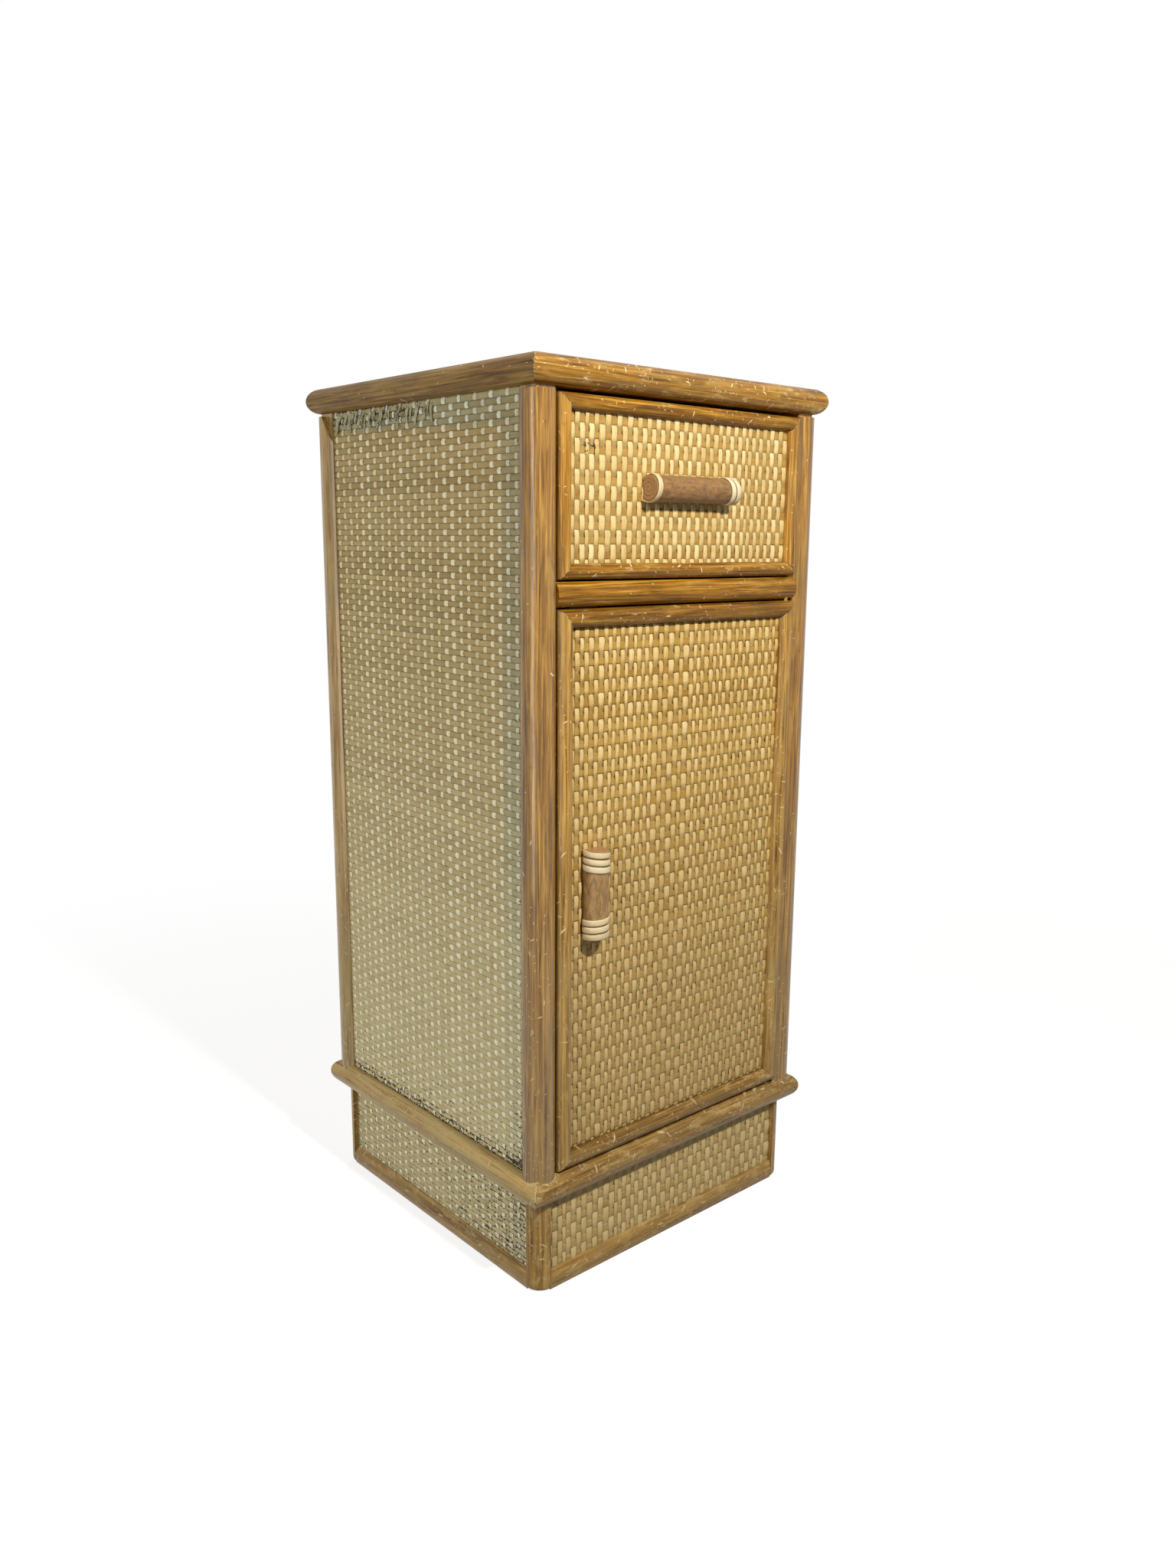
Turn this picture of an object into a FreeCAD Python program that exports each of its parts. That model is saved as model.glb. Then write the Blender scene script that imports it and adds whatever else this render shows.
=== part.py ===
import FreeCAD, Part
import math
import os
from FreeCAD import Vector

# Bedside cabinet in woven rattan: one drawer over one door, on a woven plinth.
# Millimetres, +Z up. The origin lies on the floor under the middle of the case.
# The front faces -Y, and the door hangs on pivots at its right edge, +X.

# Case, measured over its woven faces
overall_height = 750.0
case_width = 312.0
case_depth = 308.0
weave_thickness = 3.0
side_thickness = 15.0
back_thickness = 6.0
bottom_thickness = 16.0
divider_thickness = 16.0

# Top: a woven panel in a mitred bullnose frame
top_thickness = 22.0
top_overhang = 10.0
top_moulding_width = 26.0
top_weave_recess = 1.5

# Round corner posts, with one flat to the opening and one to the side board
post_radius = 13.5
post_inset = 8.0
post_head_gap = 2.5

# Head of the back left post, cut back at a slant along its inner edge
scribe_height = 25.0
scribe_width = 11.0

# Half-round band round the foot of the case
band_height = 24.5
band_proud = 10.0

# Front rail between drawer and door
rail_height = 19.0
rail_proud = 5.0
rail_base = 10.0

# Gaps round the drawer and the door
front_gap_side = 1.7
drawer_gap_top = 3.4
drawer_gap_bottom = 1.5
door_gap_top = 1.6
door_gap_bottom = 1.0

# Drawer and door fronts: half-round frames on a base as thick as sheet and panel board
panel_thickness = 6.0
drawer_frame_width = 12.0
drawer_frame_proud = 6.0
door_frame_width = 14.0
door_frame_proud = 7.0

# Drawer box
drawer_front_height = 135.3
drawer_back_room = 27.0
drawer_side_thickness = 10.0
drawer_side_height = 112.0
drawer_back_thickness = 10.0
drawer_back_drop = 5.0
drawer_bottom_thickness = 4.0
drawer_bottom_rise = 6.0
drawer_groove_depth = 4.0
guide_width = 6.3
guide_height = 15.0
stop_width = 20.0
stop_length = 10.0
stop_height = 20.0
stop_inset = 12.0

# Pole handles, planed flat where they lie on the weave
handle_radius = 10.4
handle_axis_proud = 6.0
handle_end_round = 0.8
drawer_handle_length = 97.0
drawer_handle_rise = 2.0
door_handle_length = 73.0
door_handle_rise = 3.0
door_handle_inset = 36.6

# Cane binding wound on the handle ends
cane_width = 5.4
cane_thickness = 0.9
cane_pitch = 6.0
cane_end_margin = 0.6
drawer_left_turns = 1
drawer_right_turns = 2
door_top_turns = 3
door_bottom_turns = 3

# Handle screws, driven from inside
screw_radius = 1.75
screw_grip = 9.0
screw_head_radius = 3.6
screw_head_height = 2.0
screw_inset = 22.0

# Door pivots: plain pins on the axis of the door's right moulding
pin_radius = 2.0
pin_engagement = 8.0
washer_radius = 5.0
washer_thickness = 0.7

# Magnetic catch under the divider, and its keeper on the door
catch_width = 30.0
catch_depth = 18.0
catch_height = 19.0
catch_edge_radius = 2.0
catch_inset = 38.0
keeper_width = 24.0
keeper_height = 14.0
keeper_thickness = 1.0

# Plinth under the band
plinth_height = 82.0
plinth_setback = 3.5
plinth_board_thickness = 8.5
plinth_corner_round = 4.5
trim_height = 18.0
trim_foot_share = 0.6
trim_crown_share = 0.45
plinth_weave_lift = 1.0

# Clearances
running_clearance = 0.05
seat_clearance = 0.3
slide_clearance = 0.4
glue_clearance = 0.02
overrun = 5.0

# Places worked out from the sizes above
half_width = case_width / 2
half_depth = case_depth / 2
inner_half = half_width - weave_thickness - side_thickness
board_face_x = half_width - weave_thickness
board_face_y = half_depth - weave_thickness
post_seat_depth = post_inset + math.sqrt(post_radius**2 - post_inset**2)
post_back = half_depth - post_seat_depth
back_inner = board_face_y - back_thickness
top_under = overall_height - top_thickness
band_top = plinth_height + band_height
front_base = weave_thickness + panel_thickness
front_half = inner_half - front_gap_side
front_face = -half_depth
front_back = front_face + front_base
rail_back = front_face + rail_base
drawer_top = top_under - drawer_gap_top
drawer_low = drawer_top - drawer_front_height
rail_top = drawer_low - drawer_gap_bottom
rail_low = rail_top - rail_height
door_top = rail_low - door_gap_top
door_low = band_top + door_gap_bottom
floor_top = plinth_height + bottom_thickness
divider_low = rail_top - divider_thickness
pivot_x = front_half - door_frame_width / 2
pivot_y = front_face
handle_axis_y = front_face - handle_axis_proud
drawer_outer_half = inner_half - guide_width - slide_clearance
drawer_inner_half = drawer_outer_half - drawer_side_thickness
drawer_back_face = back_inner - drawer_back_room
drawer_side_low = rail_top + slide_clearance
drawer_bottom_low = drawer_side_low + drawer_bottom_rise
drawer_bottom_top = drawer_bottom_low + drawer_bottom_thickness
plinth_leg = plinth_setback + weave_thickness + plinth_board_thickness

parts = {}


# General shapes

def box(x_span, y_span, z_span):
    """A board between two limits on each axis."""
    low = Vector(x_span[0], y_span[0], z_span[0])
    return Part.makeBox(x_span[1] - x_span[0], y_span[1] - y_span[0], z_span[1] - z_span[0], low)


def centred(half):
    """The span from minus half to plus half."""
    return (-half, half)


def mirror_x(shape):
    """The same piece on the other side of the case."""
    return shape.mirror(Vector(0, 0, 0), Vector(1, 0, 0))


def mirror_y(shape):
    """The same piece at the other end of the case's depth."""
    return shape.mirror(Vector(0, 0, 0), Vector(0, 1, 0))


def group(shapes):
    """Separate solids that share one node."""
    return Part.Compound(shapes)


def section(*runs):
    """A face in the YZ plane from runs of 2 points (a line) or 3 points (an arc), given as (y, z)."""
    edges = []
    for run in runs:
        points = [Vector(0, y, z) for y, z in run]
        if len(points) == 3:
            edges.append(Part.Arc(*points).toShape())
        else:
            edges.append(Part.LineSegment(*points).toShape())
    return Part.Face(Part.Wire(edges))


def mitred_side(profile, length, width):
    """A moulding along X, 0 to length, its ends mitred over its width in Y."""
    bar = profile.extrude(Vector(length, 0, 0))
    low = bar.BoundBox.ZMin - overrun
    high = bar.BoundBox.ZMax + overrun
    corners = [(0, 0), (length, 0), (length - width, width), (width, width), (0, 0)]
    outline = Part.makePolygon([Vector(x, y, low) for x, y in corners])
    return bar.common(Part.Face(outline).extrude(Vector(0, 0, high - low)))


def mitred_frame(profile, half_x, half_y, width):
    """Four mitred mouldings round a rectangle: front, right, back and left sides, lying flat."""
    sides = []
    starts = [(-half_x, -half_y), (half_x, -half_y), (half_x, half_y), (-half_x, half_y)]
    for turn, start in enumerate(starts):
        run = 2 * (half_x if turn % 2 == 0 else half_y)
        side = mitred_side(profile, run, width)
        side.rotate(Vector(0, 0, 0), Vector(0, 0, 1), 90 * turn)
        side.translate(Vector(start[0], start[1], 0))
        sides.append(side)
    return sides


def standing(shape, middle_z):
    """Tip a flat frame up to face -Y in the plane of the woven front, centred at a height."""
    shape.rotate(Vector(0, 0, 0), Vector(1, 0, 0), 90)
    shape.translate(Vector(0, front_face, middle_z))
    return shape


def half_round(width, proud, base):
    """Section of a half-round moulding on a rectangular base."""
    return section(
        [(0, 0), (width / 2, proud), (width, 0)],
        [(width, 0), (width, -base)],
        [(width, -base), (0, -base)],
        [(0, -base), (0, 0)],
    )


# Top

def make_top():
    """Bullnose mouldings mitred round a core board with a woven panel let in."""
    nose = top_thickness / 2
    profile = section(
        [(nose, 0), (0, nose), (nose, top_thickness)],
        [(nose, top_thickness), (top_moulding_width, top_thickness)],
        [(top_moulding_width, top_thickness), (top_moulding_width, 0)],
        [(top_moulding_width, 0), (nose, 0)],
    )
    outer_x = half_width + top_overhang
    outer_y = half_depth + top_overhang
    sides = mitred_frame(profile, outer_x, outer_y, top_moulding_width)
    for name, side in zip(("front", "right", "back", "left"), sides):
        side.translate(Vector(0, 0, top_under))
        parts["top_moulding_" + name] = side
    span_x = centred(outer_x - top_moulding_width)
    span_y = centred(outer_y - top_moulding_width)
    weave_top = overall_height - top_weave_recess
    core_top = weave_top - weave_thickness
    parts["top_core_board"] = box(span_x, span_y, (top_under, core_top))
    parts["top_woven_panel"] = box(span_x, span_y, (core_top, weave_top))


# Band round the foot of the case

def make_band():
    """Half-round mouldings mitred round the case; the front one has a tongue between the posts."""
    profile = section(
        [(band_proud, 0), (0, band_height / 2), (band_proud, band_height)],
        [(band_proud, band_height), (band_proud, 0)],
    )
    sides = mitred_frame(profile, half_width + band_proud, half_depth + band_proud, band_proud)
    for name, side in zip(("front", "right", "back", "left"), sides):
        side.translate(Vector(0, 0, plinth_height))
        parts["band_" + name] = side
    tongue = box(centred(inner_half), (front_face, rail_back), (plinth_height, band_top))
    socket = pivot_hole(band_top - pin_engagement - glue_clearance, band_top + overrun, glue_clearance)
    parts["band_front"] = parts["band_front"].fuse(tongue).removeSplitter().cut(socket)


def outside_case(low, high):
    """The space outside the woven faces between two heights, to trim the posts with."""
    reach_x = half_width + post_radius
    reach_y = half_depth + post_radius
    around = box(centred(reach_x), centred(reach_y), (low, high))
    return around.cut(box(centred(half_width), centred(half_depth), (low - overrun, high + overrun)))


# Corner posts

def make_posts():
    """Round posts, coped over the band at the foot and stopping short of the top."""
    axis = Vector(-half_width + post_inset, -half_depth + post_inset, plinth_height)
    pole = Part.makeCylinder(post_radius, top_under - plinth_height, axis)
    reach_x = half_width + post_radius
    reach_y = half_depth + post_radius
    corner = box((-reach_x, -inner_half), (-reach_y, -post_back), (plinth_height, top_under))
    post = pole.common(corner)
    head = outside_case(top_under - post_head_gap, top_under + overrun)
    foot = outside_case(plinth_height - overrun, plinth_height + band_height / 2)
    post = post.cut(head).cut(foot)
    for side in ("front", "left"):
        post = post.cut(parts["band_" + side])
    parts["corner_post_front_left"] = post
    parts["corner_post_front_right"] = mirror_x(post)
    parts["corner_post_back_right"] = mirror_y(mirror_x(post))
    parts["corner_post_back_left"] = scribed_head(mirror_y(post))


def scribed_head(post):
    """Cut the inner edge of a back post back at a slant at its head, outside the woven face."""
    foot = (post_back, top_under - scribe_height)
    tip = (post_back + scribe_width, top_under)
    corners = [foot, tip, (post_back, top_under), foot]
    outline = Part.makePolygon([Vector(-half_width, y, z) for y, z in corners])
    return post.cut(Part.Face(outline).extrude(Vector(-post_radius, 0, 0)))


# Boards and woven sheets of the case

def make_case():
    """Side boards between the posts, back, divider, rail and bottom, with their woven sheets."""
    span_z = (plinth_height, top_under)
    span_y = centred(post_back)
    parts["side_board_left"] = box((-board_face_x, -inner_half), span_y, span_z)
    parts["side_woven_left"] = box((-half_width, -board_face_x), span_y, span_z)
    parts["side_board_right"] = mirror_x(parts["side_board_left"])
    parts["side_woven_right"] = mirror_x(parts["side_woven_left"])
    span_x = centred(inner_half)
    parts["back_board"] = box(span_x, (back_inner, board_face_y), span_z)
    parts["back_woven"] = box(span_x, (board_face_y, half_depth), span_z)
    inside_y = (rail_back, back_inner)
    parts["bottom_board"] = box(span_x, inside_y, (plinth_height, floor_top))
    parts["divider_board"] = box(span_x, inside_y, (divider_low, rail_top))
    rail = half_round(rail_height, rail_proud, rail_base).extrude(Vector(2 * inner_half, 0, 0))
    rail.translate(Vector(-inner_half, -rail_height / 2, 0))
    rail = standing(rail, rail_low + rail_height / 2)
    socket = pivot_hole(rail_low - overrun, rail_low + pin_engagement + glue_clearance, glue_clearance)
    parts["front_rail"] = rail.cut(socket)


# Drawer guides and stops

def make_runners():
    """Strips that guide the drawer box along the divider, and blocks that stop it."""
    guide = box(
        (-inner_half, -inner_half + guide_width),
        (-post_back, back_inner),
        (rail_top, rail_top + guide_height),
    )
    parts["drawer_guide_left"] = guide
    parts["drawer_guide_right"] = mirror_x(guide)
    stop_edge = drawer_inner_half - stop_inset
    stop_front = drawer_back_face + seat_clearance
    stop = box(
        (-stop_edge, -stop_edge + stop_width),
        (stop_front, stop_front + stop_length),
        (rail_top, rail_top + stop_height),
    )
    parts["drawer_stops"] = group([stop, mirror_x(stop)])


# Drawer and door fronts

def make_front(name, low, high, width, proud):
    """A mitred half-round frame with a woven sheet on a panel board inside it."""
    middle = (low + high) / 2
    profile = half_round(width, proud, front_base)
    sides = mitred_frame(profile, front_half, (high - low) / 2, width)
    for side_name, side in zip(("bottom", "right", "top", "left"), sides):
        parts[name + "_frame_" + side_name] = standing(side, middle)
    span_x = centred(front_half - width)
    span_z = (low + width, high - width)
    weave_back = front_face + weave_thickness
    parts[name + "_woven_panel"] = box(span_x, (front_face, weave_back), span_z)
    parts[name + "_panel_board"] = box(span_x, (weave_back, front_back), span_z)


def make_drawer_box():
    """Sides grooved for the bottom, which slides in under the back."""
    side = box(
        (-drawer_outer_half, -drawer_inner_half),
        (front_back, drawer_back_face),
        (drawer_side_low, drawer_side_low + drawer_side_height),
    )
    bottom_half = drawer_inner_half + drawer_groove_depth
    groove = box(
        (-bottom_half - glue_clearance, -drawer_inner_half + overrun),
        (front_back - overrun, drawer_back_face + overrun),
        (drawer_bottom_low - glue_clearance, drawer_bottom_top + glue_clearance),
    )
    side = side.cut(groove)
    parts["drawer_side_left"] = side
    parts["drawer_side_right"] = mirror_x(side)
    parts["drawer_bottom"] = box(
        centred(bottom_half),
        (front_back, drawer_back_face),
        (drawer_bottom_low, drawer_bottom_top),
    )
    parts["drawer_back"] = box(
        centred(drawer_inner_half),
        (drawer_back_face - drawer_back_thickness, drawer_back_face),
        (drawer_bottom_top, drawer_side_low + drawer_side_height - drawer_back_drop),
    )


# Handles

def pole(length):
    """A pole along Z, centred, its end edges eased."""
    rim = handle_radius - handle_end_round
    end = length / 2
    ease = end - handle_end_round
    corners = [(0, -end), (rim, -end), (handle_radius, -ease)]
    corners += [(handle_radius, ease), (rim, end), (0, end), (0, -end)]
    outline = Part.makePolygon([Vector(r, 0, z) for r, z in corners])
    return Part.Face(outline).revolve(Vector(0, 0, 0), Vector(0, 0, 1), 360)


def cane_turns(turns, low):
    """Flat cane wound on the pole as one helix along Z, starting at a height."""
    inner = handle_radius + glue_clearance
    middle = inner + cane_thickness / 2
    path = Part.Wire(Part.makeHelix(cane_pitch, cane_pitch * turns, middle).Edges)
    half = cane_width / 2
    outer = inner + cane_thickness
    corners = [(inner, -half), (outer, -half), (outer, half), (inner, half), (inner, -half)]
    strip = Part.makePolygon([Vector(r, 0, z) for r, z in corners])
    wound = path.makePipeShell([strip], True, True)
    wound.translate(Vector(0, 0, low + half))
    return wound


def on_front(shape):
    """Keep what stands in front of the woven face."""
    reach = front_half
    keep = box(centred(reach), (front_face - reach, front_face), (0, overall_height))
    return shape.common(keep)


def binding_pair(length, low_turns, high_turns):
    """Cane windings at the two ends of a pole along Z; the upper one is a mirror image."""
    start = -length / 2 + cane_end_margin
    low = cane_turns(low_turns, start)
    high = cane_turns(high_turns, start).mirror(Vector(0, 0, 0), Vector(0, 0, 1))
    return group([low, high])


def screw_at(x, z, spare):
    """A round-head screw from inside the front into the handle; spare widens it into its hole."""
    inward = Vector(0, -1, 0)
    shank_length = front_base + screw_grip + spare
    shank = Part.makeCylinder(screw_radius + spare, shank_length, Vector(x, front_back, z), inward)
    head_start = Vector(x, front_back + screw_head_height, z)
    head = Part.makeCylinder(screw_head_radius, screw_head_height, head_start, inward)
    return shank if spare else shank.fuse(head).removeSplitter()


def make_handle(name, shape, binding, screw_places):
    """Seat a pole, its binding and its screws on a woven front."""
    parts[name + "_handle"] = on_front(shape)
    turns = []
    for wound in binding.Solids:
        turns += on_front(wound).Solids
    parts[name + "_handle_binding"] = group(turns)
    parts[name + "_handle_screws"] = group([screw_at(x, z, 0) for x, z in screw_places])
    for x, z in screw_places:
        hole = screw_at(x, z, glue_clearance)
        for piece in ("_handle", "_woven_panel", "_panel_board"):
            parts[name + piece] = parts[name + piece].cut(hole)


def make_handles():
    """The drawer's pole lies level in the middle, the door's stands near its left edge."""
    level = pole(drawer_handle_length)
    level_cane = binding_pair(drawer_handle_length, drawer_left_turns, drawer_right_turns)
    drawer_z = (drawer_low + drawer_top) / 2 + drawer_handle_rise
    for shape in (level, level_cane):
        shape.rotate(Vector(0, 0, 0), Vector(0, 1, 0), 90)
        shape.translate(Vector(0, handle_axis_y, drawer_z))
    reach = drawer_handle_length / 2 - screw_inset
    make_handle("drawer", level, level_cane, [(-reach, drawer_z), (reach, drawer_z)])
    upright = pole(door_handle_length)
    upright_cane = binding_pair(door_handle_length, door_bottom_turns, door_top_turns)
    door_x = -front_half + door_handle_inset
    door_z = (door_low + door_top) / 2 + door_handle_rise
    for shape in (upright, upright_cane):
        shape.translate(Vector(door_x, handle_axis_y, door_z))
    reach = door_handle_length / 2 - screw_inset
    make_handle("door", upright, upright_cane, [(door_x, door_z - reach), (door_x, door_z + reach)])


def print_cane_gap():
    """Measure the least gap between neighbouring cane turns on points of the helix."""
    steps = 48
    middle = handle_radius + glue_clearance + cane_thickness / 2
    path = []
    for step in range(2 * steps + 1):
        angle = 2 * math.pi * step / steps
        path.append(Vector(middle * math.cos(angle), middle * math.sin(angle), cane_pitch * step / steps))
    half = steps // 2
    apart = [p.distanceToPoint(q) for i, p in enumerate(path) for q in path[i + half:]]
    print("least gap between cane turns:", round(min(apart) - cane_width, 3))


# Door pivots and catch

def pivot_hole(low, high, spare):
    """A round hole on the pivot axis between two heights."""
    return Part.makeCylinder(pin_radius + spare, high - low, Vector(pivot_x, pivot_y, low))


def make_pivots():
    """Pins in the rail and the band turn in holes in the door's right moulding."""
    reach = pin_engagement + running_clearance
    holes = [
        pivot_hole(door_top - reach, door_top + overrun, running_clearance),
        pivot_hole(door_low - overrun, door_low + reach, running_clearance),
    ]
    for name in ("door_frame_top", "door_frame_right", "door_frame_bottom"):
        for hole in holes:
            parts[name] = parts[name].cut(hole)
    pins = [
        pivot_hole(door_top - pin_engagement, rail_low + pin_engagement, 0),
        pivot_hole(band_top - pin_engagement, door_low + pin_engagement, 0),
    ]
    parts["door_pivot_pins"] = group(pins)
    washer = Part.makeCylinder(washer_radius, washer_thickness, Vector(pivot_x, pivot_y, band_top))
    parts["door_pivot_washer"] = washer.cut(pivot_hole(band_top - overrun, door_low, glue_clearance))


def make_catch():
    """A magnetic catch under the divider and the steel keeper that it holds."""
    catch_x = -inner_half + catch_inset
    face = front_back + keeper_thickness + seat_clearance
    body = box(
        (catch_x - catch_width / 2, catch_x + catch_width / 2),
        (face, face + catch_depth),
        (divider_low - catch_height, divider_low),
    )
    upright = [e for e in body.Edges if e.BoundBox.ZLength > catch_height / 2]
    parts["magnetic_catch"] = body.makeFillet(catch_edge_radius, upright)
    middle = door_top - door_frame_width / 2
    parts["catch_keeper_plate"] = box(
        (catch_x - keeper_width / 2, catch_x + keeper_width / 2),
        (front_back, front_back + keeper_thickness),
        (middle - keeper_height / 2, middle + keeper_height / 2),
    )


# Plinth

def plinth_corner():
    """Front left corner piece: a quarter round, eased where it meets the floor."""
    ease = plinth_corner_round
    lean = ease * (1 - math.sqrt(1 / 2))
    outline = Part.Wire([
        Part.LineSegment(Vector(0, 0, 0), Vector(plinth_leg - ease, 0, 0)).toShape(),
        Part.Arc(
            Vector(plinth_leg - ease, 0, 0),
            Vector(plinth_leg - lean, 0, lean),
            Vector(plinth_leg, 0, ease),
        ).toShape(),
        Part.LineSegment(Vector(plinth_leg, 0, ease), Vector(plinth_leg, 0, plinth_height)).toShape(),
        Part.LineSegment(Vector(plinth_leg, 0, plinth_height), Vector(0, 0, plinth_height)).toShape(),
        Part.LineSegment(Vector(0, 0, plinth_height), Vector(0, 0, 0)).toShape(),
    ])
    quarter = Part.Face(outline).revolve(Vector(0, 0, 0), Vector(0, 0, 1), 90)
    quarter.rotate(Vector(0, 0, 0), Vector(0, 0, 1), 180)
    quarter.translate(Vector(-half_width + plinth_leg, -half_depth + plinth_leg, 0))
    return quarter


def make_plinth():
    """Boards between quarter-round corners, with woven strips and a convex trim along the floor."""
    corner = plinth_corner()
    corners = [corner, mirror_x(corner)]
    parts["plinth_corner_posts"] = group(corners + [mirror_y(c) for c in corners])
    leg_x = half_width - plinth_leg
    leg_y = half_depth - plinth_leg
    weave_x = half_width - plinth_setback
    weave_y = half_depth - plinth_setback
    front = box(centred(leg_x), (-weave_y + weave_thickness, -leg_y), (0, plinth_height))
    left = box((-weave_x + weave_thickness, -leg_x), centred(leg_y), (0, plinth_height))
    parts["plinth_board_front"] = front
    parts["plinth_board_back"] = mirror_y(front)
    parts["plinth_board_left"] = left
    parts["plinth_board_right"] = mirror_x(left)
    span_z = (plinth_weave_lift, plinth_height)
    front_strip = box(centred(leg_x), (-weave_y, -weave_y + weave_thickness), span_z)
    left_strip = box((-weave_x, -weave_x + weave_thickness), centred(leg_y), span_z)
    strips = [front_strip, mirror_y(front_strip), left_strip, mirror_x(left_strip)]
    parts["plinth_woven"] = group(strips)
    make_trims(leg_x, leg_y)


def make_trims(leg_x, leg_y):
    """Convex strips along the foot of the plinth, from corner to corner."""
    crown = (0, trim_height * trim_crown_share)
    foot = (plinth_setback * (1 - trim_foot_share), 0)
    head = (plinth_setback, trim_height)
    heel = (plinth_setback, 0)
    profile = section([foot, crown, head], [head, heel], [heel, foot])
    front = profile.extrude(Vector(2 * leg_x, 0, 0))
    front.translate(Vector(-leg_x, -half_depth, 0))
    left = profile.extrude(Vector(2 * leg_y, 0, 0))
    left.rotate(Vector(0, 0, 0), Vector(0, 0, 1), -90)
    left.translate(Vector(-half_width, leg_y, 0))
    parts["plinth_trims"] = group([front, mirror_y(front), left, mirror_x(left)])


make_top()
make_band()
make_posts()
make_case()
make_runners()
make_front("drawer", drawer_low, drawer_top, drawer_frame_width, drawer_frame_proud)
make_drawer_box()
make_front("door", door_low, door_top, door_frame_width, door_frame_proud)
make_handles()
make_pivots()
make_catch()
make_plinth()
print_cane_gap()

os.makedirs("parts", exist_ok=True)
for node, shape in parts.items():
    shape.exportStep("parts/" + node + ".step")
print(len(parts), "nodes")
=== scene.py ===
import math
from dataclasses import dataclass

import bpy
import numpy as np
from mathutils import Matrix, Vector


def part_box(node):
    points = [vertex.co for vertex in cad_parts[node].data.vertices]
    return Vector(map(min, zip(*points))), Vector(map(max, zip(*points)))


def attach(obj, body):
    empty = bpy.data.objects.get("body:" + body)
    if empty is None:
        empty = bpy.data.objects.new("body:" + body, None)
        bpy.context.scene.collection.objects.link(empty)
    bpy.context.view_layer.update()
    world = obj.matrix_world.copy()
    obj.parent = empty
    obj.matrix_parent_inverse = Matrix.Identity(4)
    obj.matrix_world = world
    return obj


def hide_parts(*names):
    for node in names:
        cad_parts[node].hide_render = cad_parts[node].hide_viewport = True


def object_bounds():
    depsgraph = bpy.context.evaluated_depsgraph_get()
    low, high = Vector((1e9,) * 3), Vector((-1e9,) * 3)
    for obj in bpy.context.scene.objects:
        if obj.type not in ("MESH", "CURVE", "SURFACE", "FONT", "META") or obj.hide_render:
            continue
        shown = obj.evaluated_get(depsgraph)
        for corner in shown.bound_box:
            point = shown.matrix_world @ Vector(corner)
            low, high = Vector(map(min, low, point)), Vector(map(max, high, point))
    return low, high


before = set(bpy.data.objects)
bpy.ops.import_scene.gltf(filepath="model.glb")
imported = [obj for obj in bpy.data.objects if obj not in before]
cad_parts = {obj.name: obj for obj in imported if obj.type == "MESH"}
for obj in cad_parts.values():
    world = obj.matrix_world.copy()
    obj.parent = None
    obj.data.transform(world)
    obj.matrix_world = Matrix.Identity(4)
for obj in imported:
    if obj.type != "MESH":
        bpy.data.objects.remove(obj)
cad_low, cad_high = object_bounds()
rng = np.random.default_rng(12)

# Looks of a woven bedside cabinet. Metres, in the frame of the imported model: +Z up, front at -Y.

# Camera, solved from the photograph; angles in degrees
camera_place = Vector((-0.7196, -0.8542, 0.6178))
camera_yaw = 41.331
camera_pitch = 11.403
camera_roll = -0.405
camera_lens = 27.627
camera_sensor = 36.0

# Lights: a lamp in front and above, a soft window at the back left, a tall pane at the left,
# a fill behind and an even surround
lamps = {
    "key": {
        "place": (-0.16, -1.08, 1.29), "target": (0.0, -0.15, 0.45),
        "size": 0.10, "power": 18.3, "colour": (1.0, 0.95, 0.86),
    },
    "window": {
        "place": (-1.30, 1.55, 0.24), "target": (-0.15, 0.0, 0.25),
        "size": (1.2, 1.2), "power": 22.4, "colour": (0.97, 0.99, 1.0), "mirrored": False,
    },
    "pane": {
        "place": (-1.29, -0.52, 0.66), "target": (-0.15, -0.15, 0.66),
        "size": (0.42, 1.3), "power": 6.6, "colour": (1.0, 0.98, 0.94),
    },
    "fill": {
        "place": (1.35, 1.25, 1.0), "target": (0.0, 0.0, 0.35),
        "size": (1.2, 1.2), "power": 16.0, "colour": (1.0, 0.97, 0.92), "mirrored": False,
    },
}
surround_strength = 0.07
backdrop_strength = 1.0

# Floor
floor_half = 6.0
floor_glow = 0.80
floor_diffuse = 0.32
floor_bounce = 0.10
floor_fade_start = 0.55
floor_fade_end = 1.4

# Stained wood: scales of its noise along and across the grain, its tones, the heights that wear
# near the floor fades over, and the edges of the dark line in a mitre
streak_scale = (13.0, 480.0, 480.0)
pore_scale = (38.0, 2100.0, 2100.0)
blotch_scale = (16.0, 120.0, 120.0)
golden_scale = (22.0, 110.0, 110.0)
rub_scale = (48.0, 150.0, 150.0)
grain_tones = (
    (0.32, (0.095, 0.034, 0.003)),
    (0.43, (0.270, 0.113, 0.006)),
    (0.54, (0.450, 0.199, 0.012)),
    (0.67, (0.720, 0.405, 0.060)),
)
pore_tone = (0.085, 0.032, 0.006)
blotch_tone = (0.150, 0.064, 0.011)
golden_tone = (0.710, 0.425, 0.085)
rubbed_tone = (0.700, 0.500, 0.220)
nick_tone = (0.900, 0.750, 0.460)
faded_tone = (0.580, 0.460, 0.210)
foot_tone = (0.150, 0.098, 0.030)
grime_tone = (0.080, 0.038, 0.010)
joint_tone = (0.050, 0.024, 0.008)
chip_tone = (0.820, 0.680, 0.420)
wear_heights = (0.06, 0.50)
mitre_edges = (0.0002, 0.0007)

# Nicks in stained wood: sizes of the cells that hold one each, then a nick's shares of its cell
nick_cells = (0.0065, 0.013, 0.021)
nick_half_widths = (0.016, 0.055)
nick_half_lengths = (0.06, 0.26)
nick_bend = 1.2
nick_slant = 0.7

# Boards: how far inside the weave the painted shade on them starts and is full
cover_edges = (0.0012, 0.0004)

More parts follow.
